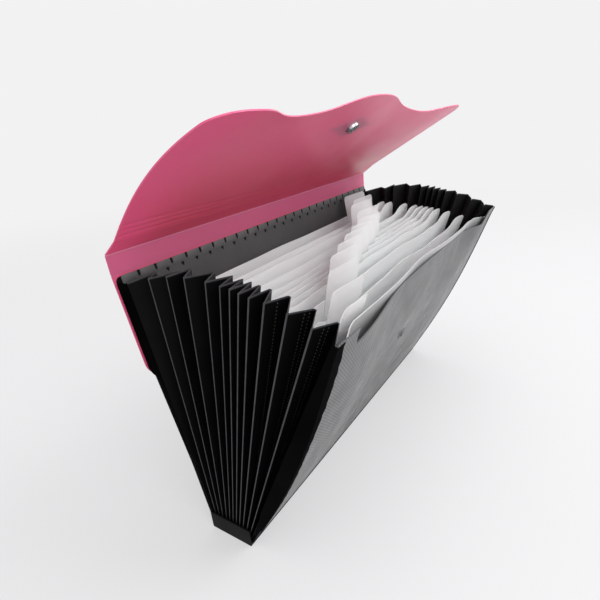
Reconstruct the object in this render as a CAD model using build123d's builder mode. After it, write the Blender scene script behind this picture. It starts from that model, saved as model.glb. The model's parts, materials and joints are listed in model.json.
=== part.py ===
from build123d import *
import os
from math import asin, cos, degrees, hypot, radians, sin, tan

# Accordion file folder for A4 papers, standing open as a fan on its narrow base.
# X runs along the folder, the front cover is on the -Y side and Z is up.
# The origin is the middle of the underside of the base. Sizes are millimetres, angles degrees.
# A lean is the tilt of a sheet from upright, positive towards the back.

# Overall sizes
length = 340.0
base_width = 39.0
cover_height = 206.5
crease_rise = 2.0
closed_thickness = 15.0

# Sheet thicknesses
cover_sheet = 0.9
liner_sheet = 0.7
flap_sheet = 0.8
divider_sheet = 0.4
tab_sheet = 0.3
gusset_sheet = 0.35

# Base trough
base_floor = 1.6
end_wall = 1.2
end_height = 16.0
base_corner = 1.2
hinge_lift = 0.6

# Fan at rest: leans of the two covers, and each divider's share of the way from back to front
back_lean = 10.0
front_lean = -23.0
fan_shares = (0.09, 0.26, 0.32, 0.455, 0.54, 0.577, 0.602, 0.63, 0.667, 0.745, 0.855, 0.948)

# Covers
cover_corner = 3.0
ear_width = 20.0
ear_slope = 12.0
cutout_depth = 14.0
liner_margin = 2.0
liner_foot = 8.0
lining_drop = 9.5
flare = 5.0
flare_foot = 60.0

# Dividers, tabs and pleats
divider_drop = 22.0
divider_corner = 5.0
divider_ear = 8.0
divider_slope = 28.0
divider_dip = 7.5
tab_width = 42.0
tab_rise = 20.0
tab_lap = 12.0
tab_corner = 4.0
tab_inset = 5.7
pleat_depth = 15.0
fold_rise = 2.0
clearance = 0.3

# Flap sheet: panel welded to the back, strip, band and wave-cut flap
flap_overhang = 6.5
panel_height = 73.0
strip_width = 13.0
strip_lean = 2.5
flap_lean = -52.5
flap_side = 118.0
lobe_inset = 20.0
lobe_reach = 131.5
dip_inset = 88.5
dip_reach = 115.5
tongue_reach = 130.0
corner_share = 0.55
wave_share = 0.5

# Leans of the folded strip and band when the folder is shut
strip_shut_lean = -56.0
band_shut_lean = -148.0
flap_back_turn = 147.0
flap_bend_back = 20.0

# Snap
snap_reach = 97.0
snap_standoff = 3.0
snap_hole = 2.0
snap_play = 0.05
cap_radius = 6.0
cap_height = 1.4
cap_edge = 0.5
cap_bevel = 1.4
socket_radius = 5.6
socket_bore = 3.4
socket_height = 2.2
snap_flange = 0.5
rivet_height = 0.3
stud_radius = 2.9
stud_height = 1.9
stud_neck = 2.5
plate_length = 70.0
plate_width = 23.0
plate_corner = 2.0
plate_sheet = 1.0

# Worked out from the sizes above
half_turn = 180.0
flap_length = length + 2 * flap_overhang
crease_height = cover_height + crease_rise
divider_height = cover_height - divider_drop
fold_length = cover_height + fold_rise
hinge_z = base_floor + hinge_lift
back_hinge_y = base_width / 2 - cover_sheet / 2
front_hinge_y = -back_hinge_y
shut_lean = degrees(asin((base_width - closed_thickness) / 2 / cover_height))
divider_count = len(fan_shares)
divider_leans = [back_lean + share * (front_lean - back_lean) for share in fan_shares]
pocket_back_y = back_hinge_y - cover_sheet / 2 - liner_sheet
pocket_front_y = front_hinge_y + cover_sheet / 2 + liner_sheet
half_pleat = (pocket_back_y - pocket_front_y) / (2 * divider_count)
divider_hinges = [pocket_back_y - half_pleat * (2 * number + 1) for number in range(divider_count)]
panel_offset = -(cover_sheet + flap_sheet) / 2


def step(point, lean, distance):
    """Go a distance up a leaning sheet from a (y, z) point."""
    return point[0] + distance * sin(radians(lean)), point[1] + distance * cos(radians(lean))


def shift(point, lean, distance):
    """Go a distance square to a leaning sheet, positive towards the front."""
    return point[0] - distance * cos(radians(lean)), point[1] + distance * sin(radians(lean))


def sheet_plane(point, lean, offset=0.0):
    """The plane of a leaning sheet: local X along the folder, local Y up the sheet."""
    y, z = shift(point, lean, offset)
    return Plane(origin=(0, y, z), x_dir=(1, 0, 0), z_dir=(0, -cos(radians(lean)), sin(radians(lean))))


def crease_gap(bend):
    """Room that two panels leave at a crease, so that they can fold by this angle."""
    return flap_sheet / 2 * tan(radians(abs(bend) / 2)) + snap_play


def eared_outline(half_width, ear_height, ear, slope, dip):
    """Right half of a sheet with a raised ear at its end, drawn into the current sketch."""
    ear_start = (half_width - ear, ear_height)
    ear_end = (half_width - ear - slope, ear_height - dip)
    ear_run = wave_share * slope
    Polyline((0, 0), (half_width, 0), (half_width, ear_height), ear_start)
    Bezier(ear_start, (ear_start[0] - ear_run, ear_start[1]), (ear_end[0] + ear_run, ear_end[1]), ear_end)
    Polyline(ear_end, (0, ear_end[1]), (0, 0))


def save(piece, name):
    """Name a finished piece and write it out."""
    piece.part.label = name
    export_step(piece.part, f"parts/{name}.step")


# Creases at rest and when shut
back_hinge = (back_hinge_y, hinge_z)
front_hinge = (front_hinge_y, hinge_z)
crease_1 = step(shift(back_hinge, back_lean, panel_offset), back_lean, crease_height)
crease_2 = step(crease_1, strip_lean, strip_width)
shut_crease_1 = step(shift(back_hinge, -shut_lean, panel_offset), -shut_lean, crease_height)
shut_crease_2 = step(shut_crease_1, strip_shut_lean, strip_width)

# The band is as long as it takes to bring the shut flap in front of the front cover
shut_offset = (cover_sheet + flap_sheet) / 2 + snap_standoff
shut_foot = shift(front_hinge, shut_lean, shut_offset)
shut_depth = (shut_crease_2[0] - shut_foot[0]) * cos(radians(shut_lean))
shut_depth -= (shut_crease_2[1] - shut_foot[1]) * sin(radians(shut_lean))
band_width = shut_depth / -sin(radians(band_shut_lean - shut_lean))
band_end = step(crease_2, flap_lean, band_width)
shut_band_end = step(shut_crease_2, band_shut_lean, band_width)
shut_rise = (shut_band_end[0] - front_hinge_y) * sin(radians(shut_lean))
shut_rise += (shut_band_end[1] - hinge_z) * cos(radians(shut_lean))
stud_rise = shut_rise - (snap_reach - band_width)

# Room at each crease for its widest fold
strip_gap = crease_gap(strip_shut_lean + shut_lean)
band_gap = crease_gap(band_shut_lean - strip_shut_lean)
flap_gap = crease_gap(half_turn - shut_lean + band_shut_lean)

os.makedirs("parts", exist_ok=True)

# Base trough: a flat floor with a low wall across each end
base_length = length + 2 * (clearance + end_wall)
with BuildPart() as base_spine:
    with BuildSketch():
        Rectangle(base_length, base_width)
    extrude(amount=base_floor)
    with BuildSketch(Plane.XY.offset(base_floor)):
        with GridLocations(base_length - end_wall, 0, 2, 1):
            Rectangle(end_wall, base_width)
    extrude(amount=end_height - base_floor)
    fillet(base_spine.edges().filter_by(Axis.X).group_by(Axis.Z)[0], radius=base_corner)
    fillet(base_spine.edges().filter_by(Axis.X).group_by(Axis.Z)[-1].sort_by(Axis.Y)[0:2], radius=base_corner)
    fillet(base_spine.edges().filter_by(Axis.X).group_by(Axis.Z)[-1].sort_by(Axis.Y)[-2:], radius=base_corner)
save(base_spine, "base_spine")

# Back cover, a stiff sheet that widens towards its rounded top corners
with BuildPart() as back_cover:
    with BuildSketch(sheet_plane(back_hinge, back_lean)) as back_outline:
        with BuildLine():
            Polyline(
                (0, 0), (length / 2, 0), (length / 2, flare_foot), (length / 2 + flare, cover_height),
                (0, cover_height), close=True,
            )
        make_face()
        mirror(about=Plane.YZ)
        fillet(back_outline.vertices().group_by(Axis.Y)[-1], radius=cover_corner)
    extrude(amount=cover_sheet / 2, both=True)
save(back_cover, "back_cover")

# Liner on the inside of the back cover
liner_offset = (cover_sheet + liner_sheet) / 2
with BuildPart() as back_liner:
    with BuildSketch(sheet_plane(back_hinge, back_lean, liner_offset)) as liner_outline:
        with Locations((0, liner_foot)):
            Rectangle(
                length - 2 * liner_margin, cover_height - liner_foot, align=(Align.CENTER, Align.MIN)
            )
        fillet(liner_outline.vertices().group_by(Axis.Y)[-1], radius=cover_corner)
    extrude(amount=liner_sheet / 2, both=True)
save(back_liner, "back_liner")

# Flap sheet, first panel: welded to the upper outside of the back cover
with BuildPart() as flap_back_panel:
    with BuildSketch(sheet_plane(back_hinge, back_lean, panel_offset)) as panel_outline:
        with Locations((0, crease_height - strip_gap)):
            Rectangle(flap_length, panel_height, align=(Align.CENTER, Align.MAX))
        fillet(panel_outline.vertices().group_by(Axis.Y)[0], radius=4 * cover_corner)
    extrude(amount=flap_sheet / 2, both=True)
save(flap_back_panel, "flap_back_panel")

# Second panel: the strip between the two strong creases
with BuildPart() as flap_strip:
    with BuildSketch(sheet_plane(crease_1, strip_lean)):
        with Locations((0, strip_gap)):
            Rectangle(flap_length, strip_width - strip_gap - band_gap, align=(Align.CENTER, Align.MIN))
    extrude(amount=flap_sheet / 2, both=True)
save(flap_strip, "flap_strip")

# Third panel: the narrow band up to the next score line
with BuildPart() as flap_band:
    with BuildSketch(sheet_plane(crease_2, flap_lean)):
        with Locations((0, band_gap)):
            Rectangle(flap_length, band_width - band_gap - flap_gap, align=(Align.CENTER, Align.MIN))
    extrude(amount=flap_sheet / 2, both=True)
save(flap_band, "flap_band")

# Fourth panel: the flap, with a rounded lobe at each end and a tongue between them
flap_plane = sheet_plane(crease_2, flap_lean)
with BuildPart() as flap:
    with BuildSketch(flap_plane):
        with BuildLine():
            side_foot = (flap_length / 2, band_width + flap_gap)
            side_top = (flap_length / 2, flap_side)
            lobe = (flap_length / 2 - lobe_inset, lobe_reach)
            dip = (flap_length / 2 - dip_inset, dip_reach)
            tongue = (0, tongue_reach)
            Line((0, band_width + flap_gap), side_foot)
            Line(side_foot, side_top)
            corner_rise = corner_share * (lobe_reach - flap_side)
            corner_run = corner_share * lobe_inset
            Bezier(side_top, (side_top[0], side_top[1] + corner_rise), (lobe[0] + corner_run, lobe[1]), lobe)
            dip_run = wave_share * (lobe[0] - dip[0])
            Bezier(lobe, (lobe[0] - dip_run, lobe[1]), (dip[0] + dip_run, dip[1]), dip)
            tongue_run = wave_share * dip[0]
            Bezier(dip, (dip[0] - tongue_run, dip[1]), (tongue_run, tongue[1]), tongue)
            Line(tongue, (0, band_width + flap_gap))
        make_face()
        mirror(about=Plane.YZ)
        with Locations((0, snap_reach)):
            Circle(snap_hole, mode=Mode.SUBTRACT)
    extrude(amount=flap_sheet / 2, both=True)
save(flap, "flap")

# Lozenge plate on the outside of the flap, under the snap cap
plate_offset = -(flap_sheet + plate_sheet) / 2
with BuildPart() as snap_plate:
    with BuildSketch(sheet_plane(crease_2, flap_lean, plate_offset)) as plate_outline:
        with BuildLine():
            Polyline(
                (-plate_length / 2, snap_reach), (0, snap_reach + plate_width / 2),
                (plate_length / 2, snap_reach), (0, snap_reach - plate_width / 2), close=True,
            )
        make_face()
        fillet(plate_outline.vertices(), radius=plate_corner)
        with Locations((0, snap_reach)):
            Circle(snap_hole, mode=Mode.SUBTRACT)
    extrude(amount=plate_sheet / 2, both=True)
save(snap_plate, "snap_plate")

# Snap on the flap. Each half is turned about the snap's own axis, which is square to the sheet.
flap_snap = step(crease_2, flap_lean, snap_reach)
cap_seat = flap_sheet / 2 + plate_sheet
rivet_end = flap_sheet / 2 + snap_flange + rivet_height
flap_axis = sheet_plane(flap_snap, flap_lean)
cap_profile = Plane(origin=flap_axis.origin, x_dir=(1, 0, 0), z_dir=-flap_axis.y_dir)
with BuildPart() as snap_cap:
    with BuildSketch(cap_profile):
        with BuildLine():
            shank = snap_hole - snap_play
            Polyline(
                (0, rivet_end), (shank, rivet_end), (shank, -cap_seat), (cap_radius, -cap_seat),
                (cap_radius, -cap_seat - cap_edge), (cap_radius - cap_bevel, -cap_seat - cap_height),
                (0, -cap_seat - cap_height), close=True,
            )
        make_face()
    revolve(axis=Axis(flap_axis.origin, flap_axis.z_dir))
save(snap_cap, "snap_cap")

with BuildPart() as snap_socket:
    with BuildSketch(cap_profile):
        with BuildLine():
            seat = flap_sheet / 2
            Polyline(
                (snap_hole, seat), (socket_radius, seat), (socket_radius, seat + snap_flange),
                (socket_radius - snap_flange, seat + socket_height), (socket_bore, seat + socket_height),
                (socket_bore, seat + snap_flange), (snap_hole, seat + snap_flange), close=True,
            )
        make_face()
    revolve(axis=Axis(flap_axis.origin, flap_axis.z_dir))
save(snap_socket, "snap_socket")

# Front cover: an ear at each end and a lowered middle
with BuildPart() as front_cover:
    with BuildSketch(sheet_plane(front_hinge, front_lean)) as front_outline:
        with BuildLine():
            eared_outline(length / 2, cover_height, ear_width, ear_slope, cutout_depth)
        make_face()
        mirror(about=Plane.YZ)
        fillet(front_outline.vertices().group_by(Axis.X)[0].sort_by(Axis.Y)[-1], radius=cover_corner)
        fillet(front_outline.vertices().group_by(Axis.X)[-1].sort_by(Axis.Y)[-1], radius=cover_corner)
        with Locations((0, stud_rise)):
            Circle(snap_hole, mode=Mode.SUBTRACT)
    extrude(amount=cover_sheet / 2, both=True)
save(front_cover, "front_cover")

# Pale lining on the inside of the front cover, open round the foot of the snap
with BuildPart() as front_liner:
    with BuildSketch(sheet_plane(front_hinge, front_lean, -liner_offset)) as lining_outline:
        with Locations((0, liner_foot)):
            Rectangle(
                length - 2 * liner_margin, cover_height - lining_drop - liner_foot, align=(Align.CENTER, Align.MIN)
            )
        fillet(lining_outline.vertices().group_by(Axis.Y)[-1], radius=cover_corner)
        with Locations((0, stud_rise)):
            Circle(socket_radius + clearance, mode=Mode.SUBTRACT)
    extrude(amount=liner_sheet / 2, both=True)
save(front_liner, "front_liner")

# The other half of the snap: a stud outside the front cover, held by a post from the inside
cover_snap = step(front_hinge, front_lean, stud_rise)
cover_axis = sheet_plane(cover_snap, front_lean)
stud_profile = Plane(origin=cover_axis.origin, x_dir=(1, 0, 0), z_dir=-cover_axis.y_dir)
with BuildPart() as snap_stud:
    with BuildSketch(stud_profile):
        with BuildLine():
            face = cover_sheet / 2
            Polyline(
                (snap_hole, face), (socket_radius, face), (socket_radius, face + snap_flange),
                (stud_neck, face + snap_flange), (stud_radius, face + 0.75 * stud_height),
                (stud_neck, face + stud_height), (snap_hole, face + stud_height), close=True,
            )
        make_face()
    revolve(axis=Axis(cover_axis.origin, cover_axis.z_dir))
save(snap_stud, "snap_stud")

with BuildPart() as snap_post:
    with BuildSketch(stud_profile):
        with BuildLine():
            face = cover_sheet / 2
            shank = snap_hole - snap_play
            Polyline(
                (0, -face - snap_flange), (socket_radius, -face - snap_flange), (socket_radius, -face),
                (shank, -face), (shank, face + stud_height), (0, face + stud_height), close=True,
            )
        make_face()
    revolve(axis=Axis(cover_axis.origin, cover_axis.z_dir))
save(snap_post, "snap_post")

# Dividers, numbered from the back, each with an ear at both ends and an index tab welded to its front face
divider_width = length - 2 * (pleat_depth + clearance)
first_tab = divider_width / 2 - tab_width / 2 - tab_inset
tab_step = -2 * first_tab / (divider_count - 1)
tab_offset = (divider_sheet + tab_sheet) / 2
for number in range(divider_count):
    hinge = (divider_hinges[number], hinge_z)
    lean = divider_leans[number]
    with BuildPart() as divider:
        with BuildSketch(sheet_plane(hinge, lean)) as divider_outline:
            with BuildLine():
                eared_outline(
                    divider_width / 2, divider_height + divider_dip, divider_ear, divider_slope, divider_dip
                )
            make_face()
            mirror(about=Plane.YZ)
            fillet(divider_outline.vertices().group_by(Axis.X)[0].sort_by(Axis.Y)[-1], radius=divider_corner)
            fillet(divider_outline.vertices().group_by(Axis.X)[-1].sort_by(Axis.Y)[-1], radius=divider_corner)
        extrude(amount=divider_sheet / 2, both=True)
    save(divider, f"divider_{number + 1:02d}")
    with BuildPart() as tab:
        with BuildSketch(sheet_plane(hinge, lean, tab_offset)) as tab_outline:
            with Locations((first_tab + number * tab_step, divider_height - tab_lap)):
                Rectangle(tab_width, tab_lap + tab_rise, align=(Align.CENTER, Align.MIN))
            fillet(tab_outline.vertices().group_by(Axis.Y)[-1], radius=tab_corner)
        extrude(amount=tab_sheet / 2, both=True)
    save(tab, f"tab_{number + 1:02d}")

# Fold lines of a gusset, from the back cover to the front cover. Every second one is a valley, where a
# divider joins it, and the ones between are ridges at the end of the folder.
fold_leans = [back_lean]
fold_hinges = [pocket_back_y - (clearance + gusset_sheet) / cos(radians(back_lean))]
for number in range(divider_count):
    fold_leans.append(divider_leans[number])
    fold_hinges.append(divider_hinges[number])
    if number + 1 < divider_count:
        fold_leans.append((divider_leans[number] + divider_leans[number + 1]) / 2)
        fold_hinges.append((divider_hinges[number] + divider_hinges[number + 1]) / 2)
fold_leans.append(front_lean)
fold_hinges.append(pocket_front_y + (clearance + gusset_sheet) / cos(radians(front_lean)))


def pleat_line(height, side):
    """The zigzag of a gusset at one height."""
    points = []
    for index, lean in enumerate(fold_leans):
        depth = pleat_depth * (index % 2)
        points.append((side * (length / 2 - depth), fold_hinges[index] + (height - hinge_z) * tan(radians(lean))))
    return points


def sheet_sides(points, thickness):
    """The two faces of a folded sheet, as lists of (fold, corner): mitred inside each fold, bevelled outside."""
    half = thickness / 2
    normals = []
    for start, end in zip(points, points[1:]):
        run = hypot(end[0] - start[0], end[1] - start[1])
        normals.append(((start[1] - end[1]) / run, (end[0] - start[0]) / run))
    sides = []
    for sign in (1, -1):
        side = []
        for fold, (x, y) in enumerate(points):
            before = normals[max(fold - 1, 0)]
            after = normals[min(fold, len(normals) - 1)]
            turn = before[0] * after[1] - before[1] * after[0]
            if turn * sign > 0:
                reach = sign * half / (1 + before[0] * after[0] + before[1] * after[1])
                side.append((fold, (x + reach * (before[0] + after[0]), y + reach * (before[1] + after[1]))))
            else:
                side.append((fold, (x + sign * half * before[0], y + sign * half * before[1])))
                if turn != 0:
                    side.append((fold, (x + sign * half * after[0], y + sign * half * after[1])))
        sides.append(side)
    return sides


def facet(*corners):
    """A flat face between corner points."""
    return Face(Wire.make_polygon(corners))


def panel_facets(low, low_height, high, high_height):
    """Flat facets of one face of the sheet. Each panel bends once, from the valley's foot to the ridge's top."""
    facets = []
    for (fold, a), (_, b), (_, c), (_, d) in zip(low, low[1:], high, high[1:]):
        foot_a, foot_b = (*a, low_height), (*b, low_height)
        top_a, top_b = (*c, high_height), (*d, high_height)
        if fold % 2:
            facets.append(facet(foot_a, foot_b, top_b))
            facets.append(facet(foot_a, top_b, top_a))
        else:
            facets.append(facet(foot_a, foot_b, top_a))
            facets.append(facet(foot_b, top_b, top_a))
    return facets


# Gussets: a pleated sheet at each end, narrow at the base and fanned out at the top
fold_tips = [step((y, hinge_z), lean, fold_length) for y, lean in zip(fold_hinges, fold_leans)]
gusset_top = base_floor + fold_length + pleat_depth
for name, side in (("left_gusset", -1), ("right_gusset", 1)):
    low_outer, low_inner = sheet_sides(pleat_line(base_floor, side), gusset_sheet)
    top_outer, top_inner = sheet_sides(pleat_line(gusset_top, side), gusset_sheet)
    facets = panel_facets(low_outer, base_floor, top_outer, gusset_top)
    facets += panel_facets(low_inner, base_floor, top_inner, gusset_top)
    for end in (0, -1):
        low_edge = [low_outer[end], low_inner[end]]
        facets += panel_facets(low_edge, base_floor, [top_outer[end], top_inner[end]], gusset_top)
    for height, outer, inner in ((base_floor, low_outer, low_inner), (gusset_top, top_outer, top_inner)):
        facets.append(facet(*[(*corner, height) for _, corner in outer + inner[::-1]]))
    with BuildPart() as gusset:
        add(Solid(Shell(facets)))
        with BuildSketch(Plane.YZ):
            with BuildLine():
                Polyline(
                    (fold_tips[0][0] + pleat_depth, base_floor),
                    (fold_tips[0][0] + pleat_depth, fold_tips[0][1]),
                    *fold_tips,
                    (fold_tips[-1][0] - pleat_depth, fold_tips[-1][1]),
                    (fold_tips[-1][0] - pleat_depth, base_floor),
                    close=True,
                )
            make_face()
        extrude(amount=length, both=True, mode=Mode.INTERSECT)
    save(gusset, name)
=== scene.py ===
# The looks of the accordion file folder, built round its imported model.
import json
import math

import bpy
import numpy as np
from mathutils import Matrix, Vector


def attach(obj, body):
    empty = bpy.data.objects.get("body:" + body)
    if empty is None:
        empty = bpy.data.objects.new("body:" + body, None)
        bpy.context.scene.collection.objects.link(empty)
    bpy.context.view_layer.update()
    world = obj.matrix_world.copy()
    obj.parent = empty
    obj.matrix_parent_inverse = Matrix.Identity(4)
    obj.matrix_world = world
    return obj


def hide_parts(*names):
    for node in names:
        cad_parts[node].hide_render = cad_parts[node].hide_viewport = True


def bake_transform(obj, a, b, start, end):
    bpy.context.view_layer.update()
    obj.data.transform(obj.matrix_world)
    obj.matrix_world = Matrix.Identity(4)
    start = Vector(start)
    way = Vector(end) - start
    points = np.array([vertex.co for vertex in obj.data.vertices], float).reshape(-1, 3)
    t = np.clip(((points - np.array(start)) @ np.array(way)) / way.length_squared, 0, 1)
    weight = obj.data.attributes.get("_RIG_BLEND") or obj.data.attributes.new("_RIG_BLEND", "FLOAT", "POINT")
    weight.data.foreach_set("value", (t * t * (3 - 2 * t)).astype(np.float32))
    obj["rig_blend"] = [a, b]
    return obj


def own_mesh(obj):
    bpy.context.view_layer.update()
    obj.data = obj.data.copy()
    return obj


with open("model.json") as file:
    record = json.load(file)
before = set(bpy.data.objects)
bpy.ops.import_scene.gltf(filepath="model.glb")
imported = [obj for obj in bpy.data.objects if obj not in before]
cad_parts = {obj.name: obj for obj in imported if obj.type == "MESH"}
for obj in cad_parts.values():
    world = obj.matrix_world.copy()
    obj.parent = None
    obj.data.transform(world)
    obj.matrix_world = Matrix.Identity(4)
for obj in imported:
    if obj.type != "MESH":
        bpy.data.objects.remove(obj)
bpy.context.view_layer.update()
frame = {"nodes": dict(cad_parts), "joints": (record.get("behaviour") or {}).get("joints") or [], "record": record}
nodes = frame["nodes"]
ratios = {c["joint"]: c["ratio"] for c in frame["record"]["behaviour"]["couplings"]}
joint_at = {j["name"]: (j["pos_m"][1] * 1000, j["pos_m"][2] * 1000) for j in frame["joints"]}

# Sizes in millimetres and degrees, as in the part's source
MM = 0.001
LENGTH = 340.0
COVER_HEIGHT = 206.5
BACK_HINGE = joint_at["back_hinge"]
FRONT_HINGE = joint_at["front_hinge"]
HINGE_Z = FRONT_HINGE[1]
BACK_LEAN = 10.0
FRONT_LEAN = -23.0
FAN_SHARES = (0.09, 0.26, 0.32, 0.455, 0.54, 0.577, 0.602, 0.63, 0.667, 0.745, 0.855, 0.948)
COVER_SHEET = 0.9
LINER_SHEET = 0.7
FLAP_SHEET = 0.8
DIVIDER_SHEET = 0.4
TAB_SHEET = 0.3
GUSSET_SHEET = 0.35
CLEARANCE = 0.3
PLEAT_DEPTH = 15.0
FOLD_LENGTH = 208.5
BASE_FLOOR = 1.6
POCKET_BACK = BACK_HINGE[0] - COVER_SHEET / 2 - LINER_SHEET
POCKET_FRONT = FRONT_HINGE[0] + COVER_SHEET / 2 + LINER_SHEET
DIVIDER_HALF = 154.7
DIVIDER_HEIGHT = 184.5
DIVIDER_CORNER = 5.0
DIVIDER_EAR = 8.0
DIVIDER_SLOPE = 28.0
DIVIDER_DIP = 7.5
TAB_WIDTH = 42.0
TAB_RISE = 20.0
TAB_LAP = 12.0
TAB_CORNER = 4.0
FIRST_TAB = 128.0
LINING_HEIGHT = 197.0
LINER_MARGIN = 2.0
CREASE_1 = joint_at["strip_crease"]
CREASE_2 = joint_at["flap_crease"]
SCORE = joint_at["flap_score"]
FLAP_HALF = 176.5
FLAP_LEAN = -52.5
BAND_WIDTH = math.dist(CREASE_2, SCORE)
BAND_GAP = 0.464
FLAP_GAP = 0.152
SNAP_REACH = 97.0
MIDDLE_HEIGHT = 192.5

COUNT = len(FAN_SHARES)
DIVIDER_LEANS = [BACK_LEAN + share * (FRONT_LEAN - BACK_LEAN) for share in FAN_SHARES]
DIVIDER_HINGES = [joint_at[f"divider_hinge_{number + 1:02d}"][0] for number in range(COUNT)]


# Shapes

def smooth(value):
    """Ease from 0 to 1."""
    value = np.clip(value, 0.0, 1.0)
    return value * value * (3 - 2 * value)


def hump(x, centre, width):
    """A smooth bump of height 1."""
    return np.exp(-((np.asarray(x) - centre) / width) ** 2)


def on_sheet(hinge, lean, x, rise, depth):
    """Points on a leaning sheet: along the folder, up the sheet, and square to it towards the front."""
    lean = np.radians(lean)
    y = hinge[0] + rise * np.sin(lean) - depth * np.cos(lean)
    z = hinge[1] + rise * np.cos(lean) + depth * np.sin(lean)
    return np.stack(np.broadcast_arrays(x, y, z), axis=-1)


def metres(point):
    """A (y, z) point in millimetres as a point of the frame."""
    return (0.0, point[0] * MM, point[1] * MM)


def make_object(name, points, faces, material, edge_angle=35.0):
    """A mesh object from points in millimetres, smooth except at its sharp edges."""
    mesh = bpy.data.meshes.new(name)
    mesh.from_pydata((np.asarray(points) * MM).tolist(), [], [list(map(int, face)) for face in faces])
    mesh.update()
    mesh.polygons.foreach_set("use_smooth", [True] * len(mesh.polygons))
    mesh.set_sharp_from_angle(angle=math.radians(edge_angle))
    mesh.materials.append(material)
    piece = bpy.data.objects.new(name, mesh)
    bpy.context.scene.collection.objects.link(piece)
    return piece


def set_values(piece, name, values):
    """Keep a number for each point of a mesh."""
    attribute = piece.data.attributes.get(name) or piece.data.attributes.new(name, "FLOAT", "POINT")
    attribute.data.foreach_set("value", np.asarray(values, np.float32).ravel())


def thick_sheet(name, grid, thickness, material, across=None, along=None, edge_angle=35.0):
    """A closed sheet from a grid of points in millimetres. across and along are kept as its map."""
    rows, columns = grid.shape[:2]
    square = np.cross(np.gradient(grid, axis=1), np.gradient(grid, axis=0))
    square /= np.linalg.norm(square, axis=2, keepdims=True)
    points = np.concatenate([
        (grid + square * thickness / 2).reshape(-1, 3),
        (grid - square * thickness / 2).reshape(-1, 3),
    ])
    total = rows * columns
    index = np.arange(total).reshape(rows, columns)
    a = index[:-1, :-1].ravel()
    b = index[:-1, 1:].ravel()
    c = index[1:, 1:].ravel()
    d = index[1:, :-1].ravel()
    faces = [np.stack([a, b, c, d], axis=1), np.stack([d, c, b, a], axis=1) + total]
    loop = np.concatenate([index[0, :-1], index[:-1, -1], index[-1, :0:-1], index[:0:-1, 0]])
    ahead = np.roll(loop, -1)
    faces.append(np.stack([ahead, loop, loop + total, ahead + total], axis=1))
    piece = make_object(name, points, np.concatenate(faces), material, edge_angle)
    if across is not None:
        place = np.stack(np.broadcast_arrays(across, along), axis=-1).reshape(-1, 2)
        place = np.concatenate([place, place])
        corners = np.zeros(len(piece.data.loops), np.int32)
        piece.data.loops.foreach_get("vertex_index", corners)
        layer = piece.data.uv_layers.new(name="UVMap")
        layer.data.foreach_set("uv", place[corners].astype(np.float32).ravel())
    return piece


def twice(values):
    """A grid of numbers for both faces of a thick sheet."""
    return np.concatenate([np.ravel(values), np.ravel(values)])


def rounded_top(x, low, high, height, radius):
    """Height of a sheet's top edge with rounded corners."""
    side = np.minimum(x - low, high - x)
    inside = np.clip(radius - side, 0, radius)
    return height - (radius - np.sqrt(np.maximum(radius ** 2 - inside ** 2, 0)))


def bezier(*corners):
    """Points along a cubic curve."""
    t = np.linspace(0, 1, 40)[:, None]
    p = [np.array(corner, float) for corner in corners]
    return (1 - t) ** 3 * p[0] + 3 * t * (1 - t) ** 2 * p[1] + 3 * t ** 2 * (1 - t) * p[2] + t ** 3 * p[3]


# Materials

def tone(red, green, blue):
    """A colour as it looks on screen, 0 to 255, as the renderer's numbers."""
    values = []
    for part in (red, green, blue):
        part = part / 255
        values.append(part / 12.92 if part <= 0.04045 else ((part + 0.055) / 1.055) ** 2.4)
    return (*values, 1.0)


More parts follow.
